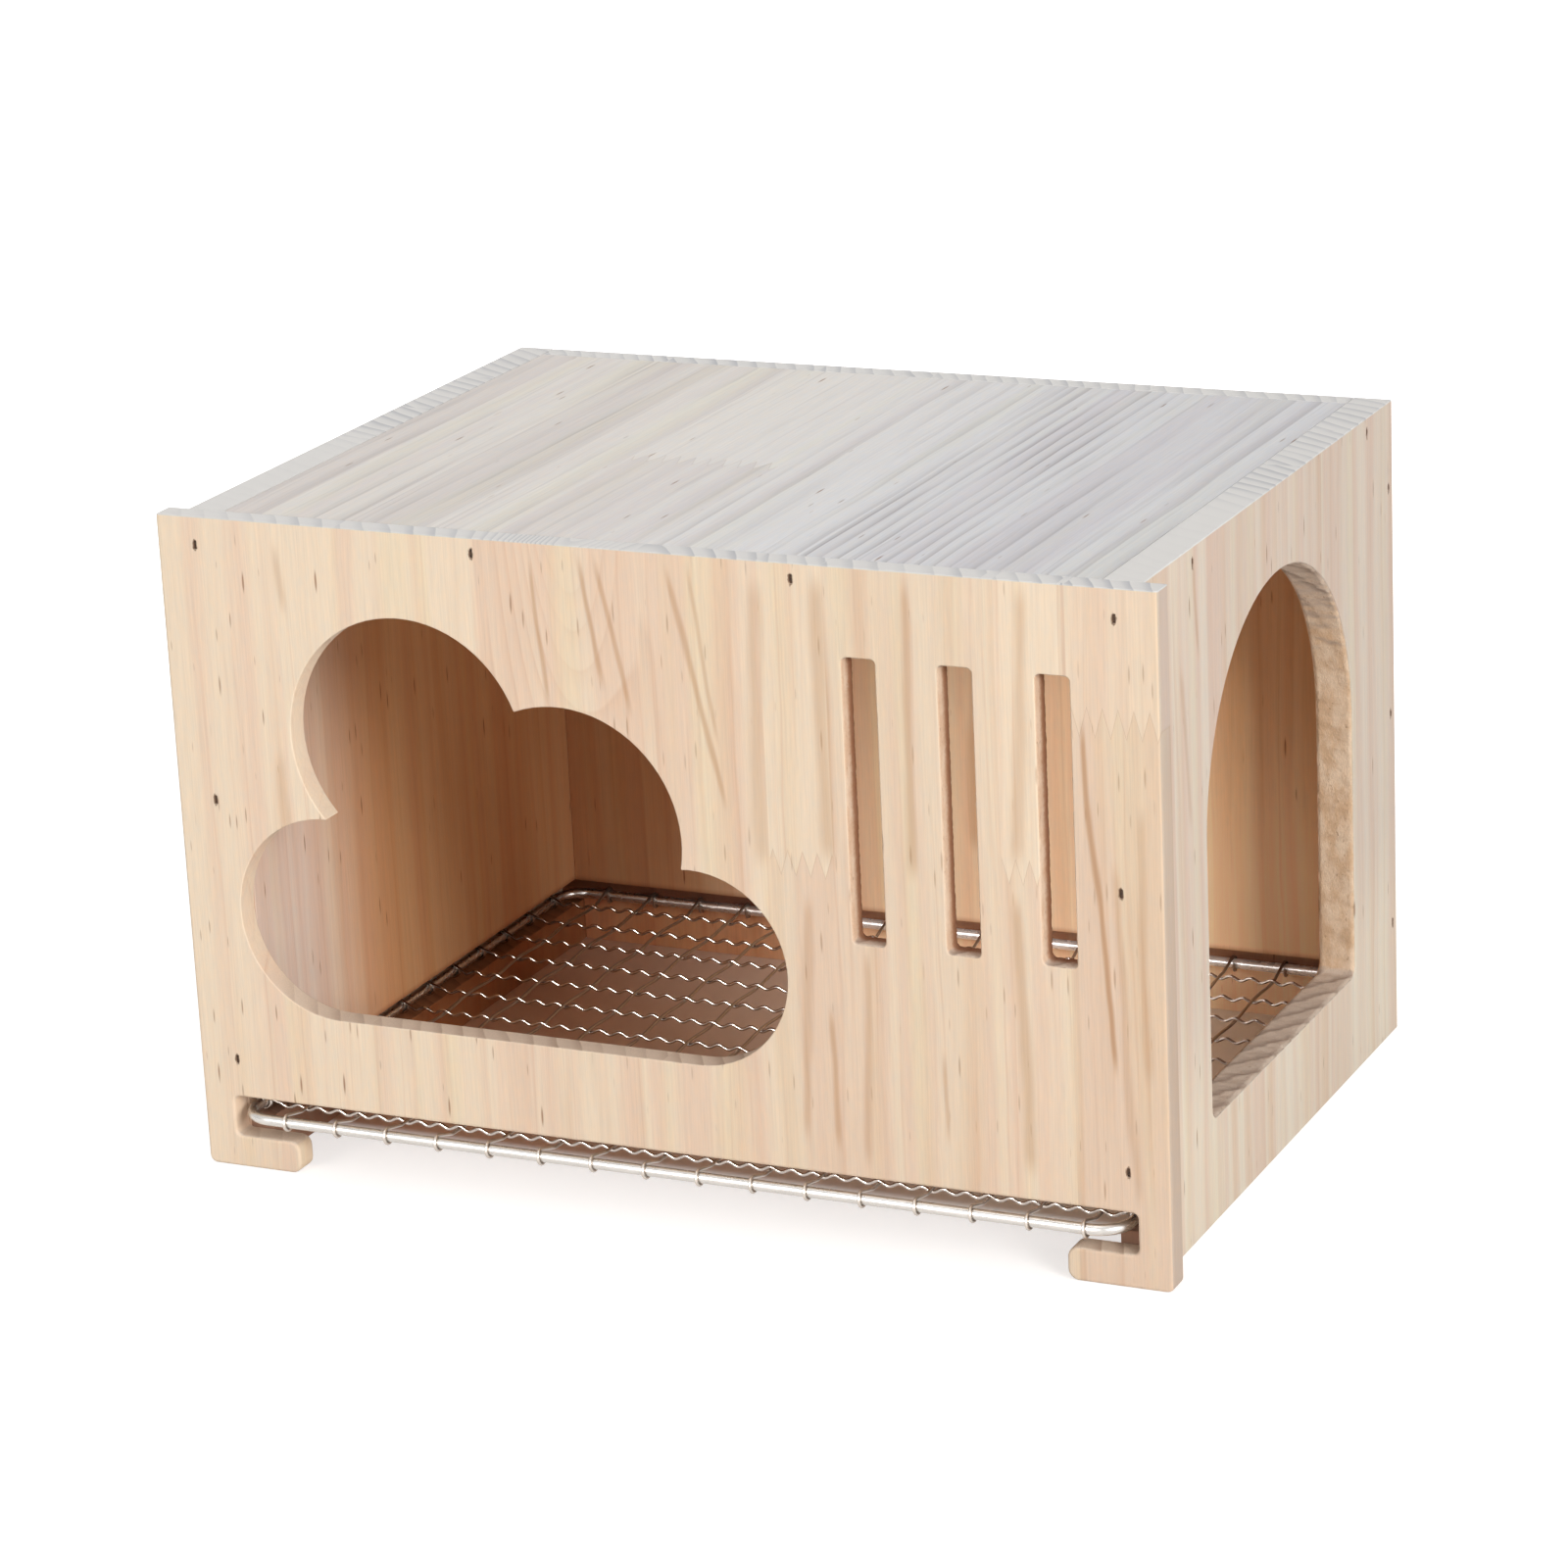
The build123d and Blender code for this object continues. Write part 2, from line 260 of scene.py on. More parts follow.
    def grey(self, value):
        node = self.nodes.new("ShaderNodeCombineColor")
        for socket in node.inputs:
            self.links.new(value, socket)
        return node.outputs[0]

    def facing(self):
        """Direction that the surface faces, by axis."""
        split = self.nodes.new("ShaderNodeSeparateXYZ")
        self.links.new(self.place.outputs["Normal"], split.inputs[0])
        return split.outputs

    def bump(self, height, strength, distance):
        node = self.nodes.new("ShaderNodeBump")
        node.inputs["Strength"].default_value = strength
        node.inputs["Distance"].default_value = distance
        self.feed(node.inputs["Height"], height)
        self.links.new(node.outputs[0], self.shader.inputs["Normal"])

    def finish(self, colour, roughness=None):
        self.feed(self.shader.inputs["Base Color"], colour)
        if roughness is not None:
            self.feed(self.shader.inputs["Roughness"], roughness)
        return self.material


class Wood(Tree):
    """Pine in its board's own directions: u across the staves, v along the grain, w through the board.
    A ramp's colours go up to 1, so it holds ring pitches as shares of PITCH_UNIT."""

    PITCH_UNIT = 20.0

    def __init__(self, name, across, along, start, width, seed):
        super().__init__(name, roughness=0.75)
        self.shader.inputs["Specular IOR Level"].default_value = 0.2
        self.across, self.along, self.width, self.seed = across, along, width, seed
        through = next(a for a in "XYZ" if a not in (across, along))
        self.u = self.minus(self.axes[across], start)
        self.v, self.w = self.axes[along], self.axes[through]

    def figure(self, across, u_fine, v_fine, depth, detail=2.0, rough=0.5):
        """Noise with a fineness of its own across the grain and along it."""
        spot = self.point(self.times(across, u_fine), self.times(self.v, v_fine), depth)
        return self.noise(spot, detail, rough)

    def stave_values(self, staves):
        """Brightness, ring pitch, ring strength and warmth of the stave at each place."""
        stops, tints, place = [], [], 0.0
        for end, bright, pitch, strength, tint in staves:
            stops.append((place / self.width, (bright, pitch / self.PITCH_UNIT, strength, 1.0)))
            tints.append((place / self.width, 0.5 + tint))
            place = end
        share = self.over(self.u, self.width)
        stave = self.parts(self.ramp(share, stops, constant=True))
        tint = self.parts(self.ramp(share, tints, constant=True))[0]
        return stave[0], self.times(stave[1], self.PITCH_UNIT), stave[2], self.minus(tint, 0.5)

    def finger_joints(self, joints):
        """Where a stave's upper part is another piece of wood, and the seam between the two. A joint holds
        the stave's edges, its own height, and the width and length of its teeth."""
        other, seam = 0.0, 0.0
        for left, right, height, tooth, reach in joints:
            within = self.times(self.step(self.u, left - 0.1, left + 0.1),
                                self.step(self.u, right + 0.1, right - 0.1))
            edge = self.times(self.math("PINGPONG", self.u, tooth), reach / tooth)
            above = self.minus(self.minus(self.v, height), edge)
            other = self.add(self.times(within, self.step(above, -0.15, 0.15)), other)
            seam = self.add(self.times(within, self.step(self.unsigned(above), 0.7, 0.0)), seam)
        return other, seam

    def growth_rings(self, pitch, shift, depth, sway, arches):
        """Count of rings up to each place, the bent place across the board, and its fine waviness. An arch
        holds its middle, spread, foot and the height of a ring in it."""
        wander = self.figure(self.u, 0.018, 0.0045, self.add(self.times(self.w, 0.02), shift, self.seed))
        ripple = self.minus(self.figure(self.u, 0.09, 0.02, depth), 0.5)
        bent = self.add(self.u, self.times(self.minus(wander, 0.5), sway), self.times(ripple, 1.6),
                        self.times(self.w, 0.35))
        rings = self.add(self.over(bent, pitch), shift)
        for middle, spread, foot, rise in arches:
            near = self.over(self.minus(self.u, middle), spread)
            bell = self.math("EXPONENT", self.times(near, near, -1.0))
            above = self.math("MAXIMUM", self.minus(self.v, foot), 0.0)
            rings = self.add(rings, self.times(bell, self.over(above, rise)))
        return rings, bent, ripple

    def late_wood(self, rings, strength, shift, other):
        """How far a place lies in a ring's dark part. It is weaker in a joint's upper piece."""
        phase = self.math("FRACT", rings)
        late = self.ramp(phase, [(0.0, 0.0), (0.45, 0.12), (0.78, 0.55), (0.93, 1.0), (1.0, 0.0)])
        band = self.figure(self.u, 0.06, 0.008, self.add(self.seed, shift))
        return self.times(late, strength, self.step(band, 0.3, 0.7), self.between(other, 1.0, 0.4))

    def broad_colour(self, bent, depth, tint, other, light, warm, ring):
        """Pale and warm bands along the grain, with straw and darker lines."""
        broad = self.figure(bent, 0.03, 0.003, depth)
        bands = self.figure(bent, 0.15, 0.0022, depth, 1.5)
        lines = self.figure(bent, 0.7, 0.005, depth, 2.0, 0.6)
        yellow = self.figure(bent, 0.1, 0.003, self.add(depth, 31.0), 1.0)
        warmth = self.add(self.times(broad, 0.35), self.times(bands, 0.65), tint, self.times(other, -0.12))
        colour = self.mix(self.step(warmth, 0.40, 0.62), light, warm)
        colour = self.tinted(colour, STRAW_TINT, self.times(self.step(yellow, 0.5, 0.68), 0.55))
        return self.mix(self.times(self.step(lines, 0.55, 0.78), 0.3), colour, ring)

    def resin_flecks(self, flecks, few):
        """Short dark flecks. flecks is the share of places that have one, and few is where they fade and
        to what share."""
        cell = self.point(self.add(self.over(self.u, 3.4), self.seed), self.over(self.v, 30.0), 0.0)
        far, pick, size = self.cells(cell)
        reach = self.between(size, 0.05, 0.14)
        fleck = self.times(self.step(far, reach, self.times(reach, 0.3)),
                           self.step(pick, 1.0 - flecks, 1.02 - flecks))
        patch = self.step(self.figure(self.u, 0.05, 0.02, self.seed + 3.0), 0.3, 0.5)
        fade = self.between(self.step(self.u, few[0], few[0] + 30.0), 1.0, few[1])
        return self.times(fleck, patch, self.between(size, 0.3, 0.8), fade)

    def streaked(self, colour, ripple, streaks):
        """Long streaks. Each holds the place and height of its top and of its foot, half its width, and
        how dark it is."""
        for top, z_top, foot, z_foot, half, dark in streaks:
            slope = (top - foot) / (z_top - z_foot)
            line = self.math("MULTIPLY_ADD", self.minus(self.v, z_foot), slope, foot)
            off = self.unsigned(self.minus(self.add(self.u, self.times(ripple, 4.0)), line))
            ends = self.times(self.step(self.v, z_foot - 3, z_foot + 6),
                              self.step(self.v, z_top + 3, z_top - 6))
            mark = self.times(self.step(off, half, 0.1 * half), ends, dark)
            colour = self.mix(mark, colour, STREAK)
        return colour

    def stained(self, colour, nails):
        """Ragged stains round the driven nails. Each holds its places across the board and along it."""
        ragged = self.minus(self.figure(self.u, 1.4, 0.7, self.seed, 1.0), 0.5)
        for nail_across, nail_along in nails:
            off_across = self.over(self.minus(self.axes[self.across], nail_across), 0.72)
            off_along = self.over(self.minus(self.v, nail_along), 1.7)
            near = self.add(self.hypot(off_across, off_along), self.times(ragged, 1.1))
            colour = self.mix(self.times(self.step(near, 1.25, 0.8), 0.8), colour, STAIN)
        return colour

    def end_grain(self, rings, light):
        """Dark bars of the rings, open pores, and the colour of both, for cuts across the grain."""
        bars = self.math("FRACT", self.times(self.add(rings, self.times(self.w, 0.02)), 1.7))
        bars = self.ramp(bars, [(0.0, 0.0), (0.5, 0.2), (0.8, 0.75), (0.95, 1.0), (1.0, 0.0)])
        pores = self.figure(self.u, 3.0, 3.0, self.times(self.w, 3.0), 3.0, 0.7)
        clear = self.step(self.noise(self.point(self.times(self.u, 0.02), self.seed, 0.0)), 0.42, 0.6)
        bars = self.times(bars, self.between(clear, 0.2, 0.6))
        cross = self.mix(bars, self.mix(0.5, light, CUT_PALE), CUT_DARK)
        return bars, pores, self.tinted(cross, self.ramp(pores, [(0.3, 0.86), (0.7, 1.06)]))

    def painted_indoor_light(self, colour, lit, lit_tint, shade_tint, door_lit, low_shade, low_pale, shade_from):
        """Painted light and shade on the inner faces: painted light in a lit stretch and from the doorway,
        painted shade away from the openings and in the low zone, a painted shadow line, and paler tints low
        down.
        """
        sideways, y, z = self.unsigned(self.axes["X"]), self.axes["Y"], self.axes["Z"]
        low = self.step(z, LOW_ZONE_TOP + 3.0, LOW_ZONE_TOP)
        wall = self.between(low, INNER_X, INNER_X + GROOVE_REACH)
        room = self.times(
            self.to_level(self.minus(sideways, wall), 0.0),
            self.from_level(y, WALL_Y),
            self.to_level(self.minus(y, self.times(low, GROOVE_REACH)), BACK_Y - 0.1),
            self.to_level(z, ROOF_UNDER),
        )
        axis, middle, half, reach = lit
        in_shade = self.step(self.unsigned(self.minus(self.axes[axis], middle)), half, reach)
        if door_lit:
            by_door = self.step(self.axes["X"], door_lit, door_lit + 30.0)
            near_door = self.times(by_door, self.between(self.step(z, 120.0, 40.0), 0.35, 1.0))
            in_shade = self.times(in_shade, self.minus(1.0, near_door))
            lit_tint = self.mix(by_door, lit_tint, DOOR_LIT_TINT)
            shade_tint = self.mix(by_door, shade_tint, DOOR_SHADE_TINT)
        # Painted light in the lit stretch and painted shade beyond it, on the inner faces only
        colour = self.tinted(colour, self.mix(in_shade, lit_tint, shade_tint), room)
        # Painted shade in the low zone
        colour = self.tinted(colour, LOW_SHADE_TINT, self.times(room, low, low_shade))
        # Painted shadow line: darkest from its height to 3 mm above, fading out by 9 mm above
        if shade_from:
            shaded = self.times(room, self.step(z, shade_from, shade_from + 1.0), 0.85)
            shaded = self.times(shaded, self.step(z, shade_from + 9.0, shade_from + 3.0))
            colour = self.tinted(colour, SHADOW_TINT, shaded)
        if low_pale:
            inside = self.times(room, self.minus(1.0, in_shade), self.step(z, 105.0, 60.0))
            outside = self.times(self.from_level(sideways, OUTER_X), self.step(z, 75.0, 30.0))
            colour = self.tinted(colour, low_pale[0], inside)
            colour = self.tinted(colour, low_pale[1], outside)
        return colour

    def painted_cool_light(self, colour, axis, level, tint, least):
        """Painted cool light: a tint on the outer face at a level of an axis, and behind the front board's
        overhang.
        """
        skin = self.from_level(self.unsigned(self.axes[axis]), level)
        overhang = self.times(self.step(self.unsigned(self.axes["X"]), OUTER_X - 0.3, OUTER_X + 0.3),
                              self.from_level(self.axes["Y"], WALL_Y))
        drift = self.figure(self.u, 0.02, 0.012, self.seed)
        slope = self.step(self.add(self.u, self.times(drift, 60.0)), 10.0, 120.0)
        skin = self.times(self.math("MAXIMUM", skin, overhang), self.between(slope, least, 1.0))
        if isinstance(tint, list):
            tint = self.mix(self.step(self.u, 0.3 * self.width, 0.75 * self.width), *tint)
        return self.tinted(colour, tint, skin)


def pine(name, across, along, start, width, staves, joints=(), arches=(), streaks=(), nails=(), flecks=0.5,
         few=(0.0, 1.0), seed=0.0, cool_light=None, light=CREAM, warm=PEACH, ring=RING, top=0.9, ladder=-2.0,
         sway=12.0, lit=("Y", -95.0, 22.0, 78.0), lit_tint=(0.86, 0.88, 0.96, 1.0),
         shade_tint=(0.87, 0.62, 0.41, 1.0), door_lit=None, low_shade=0.8, low_pale=None, shade_from=None):
    """Edge-glued pine. staves holds (end, brightness, ring pitch, ring strength, warmth) across the board,
    and the methods of Wood say what joints, arches, streaks, nails, flecks and few hold. cool_light holds
    the outer face's axis and level, the tint of the painted cool light on it or the tints from side to side,
    and how strong that is at least. top is how pale the top is, ladder is where its dark bars begin, and
    sway is how far the rings wander. lit is the stretch of the inner face with painted light: axis, middle,
    half width and reach; lit_tint is its tint, and shade_tint is the tint of the painted shade beyond it.
    door_lit is where the painted light from the doorway on it begins. low_shade is how dark the painted
    shade in the low zone inside the box is, low_pale holds the tints low on the inner and the outer face,
    and shade_from is the height of a painted shadow line."""
    t = Wood(name, across, along, start, width, seed)
    bright, pitch, strength, tint = t.stave_values(staves)
    other, seam = t.finger_joints(joints)
    shift = t.times(other, 7.31)
    depth = t.add(t.times(t.w, 0.05), shift, seed)
    rings, bent, ripple = t.growth_rings(pitch, shift, depth, sway, arches)
    late = t.late_wood(rings, strength, shift, other)
    fibre = t.figure(t.u, 2.2, 0.05, t.times(t.w, 2.2), 3.0, 0.6)
    mottle = t.figure(t.u, 0.55, 0.22, t.add(t.times(t.w, 0.3), seed), 3.0, 0.65)
    fleck = t.resin_flecks(flecks, few)

    colour = t.broad_colour(bent, depth, tint, other, light, warm, ring)
    colour = t.mix(late, colour, ring)
    colour = t.tinted(colour, t.ramp(fibre, [(0.25, 0.93), (0.75, 1.05)]))
    colour = t.tinted(colour, t.ramp(mottle, MOTTLE_TINTS))
    colour = t.mix(fleck, colour, FLECK)
    colour = t.streaked(colour, ripple, streaks)
    colour = t.mix(t.times(seam, 0.2), colour, SEAM)
    colour = t.stained(colour, nails)
    colour = t.tinted(colour, t.grey(t.add(bright, t.times(other, 0.03))))

    bars, pores, cross = t.end_grain(rings, light)
    cut = t.step(t.unsigned(t.facing()[along]), 0.55, 0.85)
    colour = t.mix(cut, colour, cross)
    colour = t.painted_indoor_light(colour, lit, lit_tint, shade_tint, door_lit, low_shade, low_pale, shade_from)
    # Painted cool light on the outer faces
    if cool_light:
        colour = t.painted_cool_light(colour, *cool_light)
    if top:
        upper = t.from_level(t.axes["Z"], BOX_H)
        laddered = t.times(bars, t.step(t.u, ladder, ladder + 30.0))
        colour = t.mix(t.times(upper, top), colour, t.mix(laddered, TOP_PALE, TOP_DARK))

    height = t.add(t.times(late, -0.35), t.times(fibre, 0.6), t.times(fleck, -1.2), t.times(seam, -0.8),
                   t.times(cut, pores, 1.6))
    t.bump(height, 0.3, 0.00025)
    return t.finish(colour, t.between(fibre, 0.64, 0.8))


def raw_wood(name, base, dark, specks, rim=None):
    """Roughly cut wood inside an opening, with torn pits and with stripes on its level parts. specks is the
    share of pits, and rim is the Y of the board's inner face, where the wood is dark: a torn edge and
    painted shade."""
    t = Tree(name, roughness=0.85)
    t.shader.inputs["Specular IOR Level"].default_value = 0.2
    x, y = t.axes["X"], t.axes["Y"]
    cloud = t.speckle(0.25, 0.25, 0.12, 4.0, 0.6)
    pits = t.speckle(0.9, 0.9, 0.55, 3.0, 0.65)
    fuzz = t.speckle(3.0, 3.0, 1.2, 2.0, 0.6)
    colour = t.mix(t.step(cloud, 0.35, 0.65), base, dark)
    level = t.step(t.unsigned(t.facing()["Z"]), 0.35, 0.8)
    stripe = t.math("FRACT", t.add(t.times(x, 0.103), t.times(y, -0.074), t.times(cloud, 0.3)))
    stripe = t.times(t.ramp(stripe, [(0.0, 0.0), (0.5, 0.15), (0.85, 1.0), (1.0, 0.0)]), level)
    colour = t.mix(t.times(level, 0.8), colour, tone(216, 199, 183))
    colour = t.mix(t.times(stripe, 0.65), colour, tone(138, 114, 100))
    torn = t.step(pits, 1.0 - specks, 1.08 - specks)
    colour = t.mix(t.times(torn, 0.45), colour, FLECK)
    # Dark rim by the board's inner face: a torn edge, with painted shade on it
    if rim is not None:
        edge = t.step(t.add(y, t.times(fuzz, 3.0)), rim - 3.9, rim - 0.7)
        colour = t.mix(t.times(edge, 0.85), colour, tone(160, 104, 68))
    colour = t.tinted(colour, t.ramp(fuzz, [(0.25, 0.88), (0.75, 1.06)]))
    t.bump(t.add(fuzz, t.times(torn, -1.5), pits), 0.5, 0.0004)
    return t.finish(colour)


def plated(name, colour, roughness, painted_zones, other, metallic, painted_slope_shade=None):
    """Bright plated wire with faint streaks and handling marks. In the painted_zones it has the other colour,
    a painted highlight where that is paler and painted shade where it is darker, and is as metallic as
    that says. A zone holds an axis, where it begins and where it is whole, and painted_slope_shade is the
    colour of painted shade on what slopes down to the right."""
    t = Tree(name, metallic=1.0, roughness=roughness)
    # Painted highlight or painted shade in the zones
    there = t.times(*[t.step(t.axes[axis], begin, whole) for axis, begin, whole in painted_zones])
    if painted_slope_shade:
        other = t.mix(t.step(t.facing()["X"], -0.05, 0.2), other, painted_slope_shade)
    smear = t.speckle(0.2, 0.2, 1.0, 3.0, 0.6)
    t.bump(t.speckle(2.5, 2.5, 2.5, 2.0, 0.5), 0.1, 0.00005)
    t.feed(t.shader.inputs["Metallic"], t.between(there, 1.0, metallic))
    colour = t.tinted(t.mix(there, colour, other), t.ramp(smear, [(0.3, 0.86), (0.7, 1.0)]))
    return t.finish(colour, t.between(smear, roughness - 0.07, roughness + 0.07))


def rusty(name):
    """Steel of the nails, part dark and part brown."""
    t = Tree(name, metallic=0.4, roughness=0.6)
    rust = t.speckle(1.5, 1.5, 1.5, 3.0, 0.6)
    t.bump(rust, 0.4, 0.0001)
    return t.finish(t.mix(t.step(rust, 0.35, 0.65), tone(48, 34, 26), tone(92, 66, 46)))


def seen_rays(nodes, links):
    """1 for what the camera sees, straight or by way of metal or glass, and 0 for light on surfaces."""
    path = nodes.new("ShaderNodeLightPath")
    seen = path.outputs["Is Camera Ray"]
    for ray in ("Is Glossy Ray", "Is Transmission Ray"):
        either = nodes.new("ShaderNodeMath")
        either.operation = "MAXIMUM"
        links.new(seen, either.inputs[0])
        links.new(path.outputs[ray], either.inputs[1])
        seen = either.outputs[0]
    return seen


def floor_paper():
    """Pale paper, white to the camera away from the box, with warm painted shade on it under the box. That
    painted shade is darker on the left, and painted light makes it palest by the doorway."""
    t = Tree("floor_paper", roughness=0.9)
    x, y = t.axes["X"], t.axes["Y"]
    under = t.times(t.step(t.unsigned(x), *UNDER_SIDE), t.step(y, *UNDER_FRONT), t.step(y, *UNDER_REAR))
    # Warm painted shade under the box, darker on the left, with painted light by the doorway
    under_shade = t.mix(t.step(t.add(x, t.times(y, 0.4)), -120, 30), tone(214, 174, 146), tone(236, 217, 201))
    under_shade = t.mix(t.step(x, 40, 90), under_shade, tone(254, 244, 230))
    glow = t.between(t.step(t.hypot(x, y), *GLOW_RANGE), 0.62, 1.0)
    white = t.times(seen_rays(t.nodes, t.links), t.minus(1.0, under), glow)
    t.feed(t.shader.inputs["Emission Color"], WHITE)
    t.feed(t.shader.inputs["Emission Strength"], white)
    return t.finish(t.mix(under, tone(206, 204, 202), under_shade))


def nail_spots():
    """Middle of each nail as seen along it, by the axis that it is driven along, and by its board."""
    found = {"X": [], "Y": [], "front": [], "side": []}
    for name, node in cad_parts.items():
        if not name.startswith("nails_"):
            continue
        axis = "Y" if name.split("_")[1] in ("front", "back") else "X"
        keep = 0 if axis == "Y" else 1
        spots = []
        for vertex in node.data.vertices:
            seen = Vector((vertex.co[keep], vertex.co[2]))
            home = next((s for s in spots if (s[0] - seen).length < NAIL_APART * MM), None)
            if home is None:
                spots.append([seen, seen.copy(), seen.copy()])
            else:
                home[1] = Vector((min(home[1][0], seen[0]), min(home[1][1], seen[1])))
                home[2] = Vector((max(home[2][0], seen[0]), max(home[2][1], seen[1])))
        middles = [(low + high) / 2 for _, low, high in spots]
        found[axis] += middles
        if name.startswith(("nails_front", "nails_right")):
            found["front" if axis == "Y" else "side"] += [tuple(middle / MM) for middle in middles]
    return found


NAILS = nail_spots()


def at_nail(edge):
    """Whether an edge belongs to a nail's hole."""
    for axis, keep in (("Y", 0), ("X", 1)):
        ends = [Vector((v.co[keep], v.co[2])) for v in edge.verts]
        for spot in NAILS[axis]:
            if all(max(abs(e[0] - spot[0]), abs(e[1] - spot[1])) < NAIL_REACH * MM for e in ends):
                return True
    return False


def piece_of(name, bm, material, smooth=True):
    """Piece made from a bmesh."""
    for face in bm.faces:
        face.smooth = smooth
    mesh = bpy.data.meshes.new(name)
    bm.to_mesh(mesh)
    bm.free()
    mesh.materials.append(material)
    piece = bpy.data.objects.new(name, mesh)
    bpy.context.scene.collection.objects.link(piece)
    return piece


def board(name, material, soft=0.4):
    """Board with softened edges, in place of its solid."""
    bm = bmesh.new()
    bm.from_mesh(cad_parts[name].data)
    bmesh.ops.remove_doubles(bm, verts=bm.verts, dist=1e-6)
    bmesh.ops.dissolve_limit(bm, angle_limit=math.radians(0.5), verts=bm.verts, edges=bm.edges)
    rims = [e for e in bm.edges if len(e.link_faces) == 2 and e.calc_face_angle(0) > math.radians(30)]
    rims = [e for e in rims if not at_nail(e)]
    bmesh.ops.bevel(bm, geom=rims, offset=soft * MM, offset_type="OFFSET", segments=2, profile=0.5,
                    affect="EDGES", clamp_overlap=False)
    piece = piece_of(name + "_board", bm, material)
    piece.data.set_sharp_from_angle(angle=math.radians(38))
    normals = piece.modifiers.new("normals", "WEIGHTED_NORMAL")
    normals.keep_sharp = True
    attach(piece, "house")
    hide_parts(name)


def batten(name, material):
    """Thin board behind the tray, with an ear in each groove. It closes the back down to the floor."""
    leg = INNER_X - BATTEN_PLAY
    ear = GROOVE_X - BATTEN_PLAY
    ear_foot = GROOVE_Z + BATTEN_PLAY
    half = [(leg, 0.0), (leg, ear_foot), (ear, ear_foot), (ear, BACK_FOOT - BATTEN_TOP_PLAY)]
    outline = half + [(-x, z) for x, z in reversed(half)]
    bm = bmesh.new()
    front = [bm.verts.new(Vector((x, BATTEN_Y, z)) * MM) for x, z in outline]
    rear = [bm.verts.new(Vector((x, REAR_Y - BATTEN_SHY, z)) * MM) for x, z in outline]
    bm.faces.new(front)
    bm.faces.new(list(reversed(rear)))
    for index in range(len(outline)):
        after = (index + 1) % len(outline)
        bm.faces.new((front[after], front[index], rear[index], rear[after]))
    bmesh.ops.recalc_face_normals(bm, faces=bm.faces)
    bmesh.ops.bevel(bm, geom=list(bm.edges), offset=BATTEN_EDGE * MM, offset_type="OFFSET", segments=2,
                    profile=0.5, affect="EDGES")
    piece = piece_of(name, bm, material, smooth=False)
    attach(piece, "house")


def liner(name, outline, axis, near, far, material, depth, grain, seed):
    """Rough sawn skin inside an opening. outline goes round it, in the board's plane and in order."""
    middle = sum(outline, Vector((0, 0))) / len(outline)
    bm = bmesh.new()
    sheets = []
    count = len(outline)
    for index, point in enumerate(outline):
        run = outline[(index + 1) % count] - outline[index - 1]
        inward = Vector((-run.y, run.x)).normalized()
        if inward.dot(middle - point) < 0:
            inward = -inward
        row = []
        for step in range(SKIN_ROWS + 1):
            across = near + (far - near) * step / SKIN_ROWS
            chip = noise.noise(Vector((point.x / grain, point.y / grain, across / (4 * grain) + seed)))
            fine = noise.noise(Vector((point.x * 1.3, point.y * 1.3, across * 0.4 + seed)))
            lift = depth * (0.45 + 0.5 * chip + 0.3 * fine)
            if step in (0, SKIN_ROWS):
                lift = -SKIN_RIM
            place = point + inward * lift
            spot = (across, place.x, place.y) if axis == "X" else (place.x, across, place.y)
            row.append(bm.verts.new(Vector(spot) * MM))
        sheets.append(row)
    for here, there in zip(sheets, sheets[1:] + sheets[:1]):
        for step in range(SKIN_ROWS):
            bm.faces.new((here[step], here[step + 1], there[step + 1], there[step]))
    bmesh.ops.recalc_face_normals(bm, faces=bm.faces)
    inner = Vector((0, middle.x, middle.y)) if axis == "X" else Vector((middle.x, 0, middle.y))
    first = next(iter(bm.faces))
    away = first.calc_center_median() - inner * MM
    away[0 if axis == "X" else 1] = 0
    if first.normal.dot(away) > 0:
        bmesh.ops.reverse_faces(bm, faces=bm.faces)
    piece = piece_of(name, bm, material)
    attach(piece, "house")


def tube(name, line, radius, material, flat, sides=10, closed=False):
    """Round wire along a line of points. flat is a direction that the line never runs along."""
    bm = bmesh.new()
    rings = []
    count = len(line)
    for index, point in enumerate(line):
        ahead = line[(index + 1) % count] if closed else line[min(index + 1, count - 1)]
        behind = line[index - 1] if closed else line[max(index - 1, 0)]
        run = (ahead - behind).normalized()
        side = run.cross(flat).normalized()
        lift = side.cross(run)
        ring = []
        for step in range(sides):
            angle = 2 * math.pi * step / sides
            place = point + (side * math.cos(angle) + lift * math.sin(angle)) * radius
            ring.append(bm.verts.new(place * MM))
        rings.append(ring)
    pairs = list(zip(rings, rings[1:])) + ([(rings[-1], rings[0])] if closed else [])
    for first, second in pairs:
        for step in range(sides):
            after = (step + 1) % sides
            bm.faces.new((first[step], first[after], second[after], second[step]))
    if not closed:
        bm.faces.new(list(reversed(rings[0])))
        bm.faces.new(rings[-1])
    bmesh.ops.recalc_face_normals(bm, faces=bm.faces)
    piece = piece_of(name, bm, material)
    piece.data.set_sharp_from_angle(angle=math.radians(50))
    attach(piece, "tray")
    return piece


def sag(point):
    """How far the woven wires hang below the frame, and lean, away from its rods."""
    u = point.x / ROD_X
    v = (2 * point.y - ROD_FRONT - ROD_BACK) / (ROD_BACK - ROD_FRONT)
    slack = max(0.0, 1 - u * u) * max(0.0, 1 - v * v)
    lean = math.sin(math.pi * u) * math.sin(math.pi * v)
    return point + Vector((LEAN_X * lean, SLACK_BACK * slack - LEAN_Y * lean, -SLACK * slack))


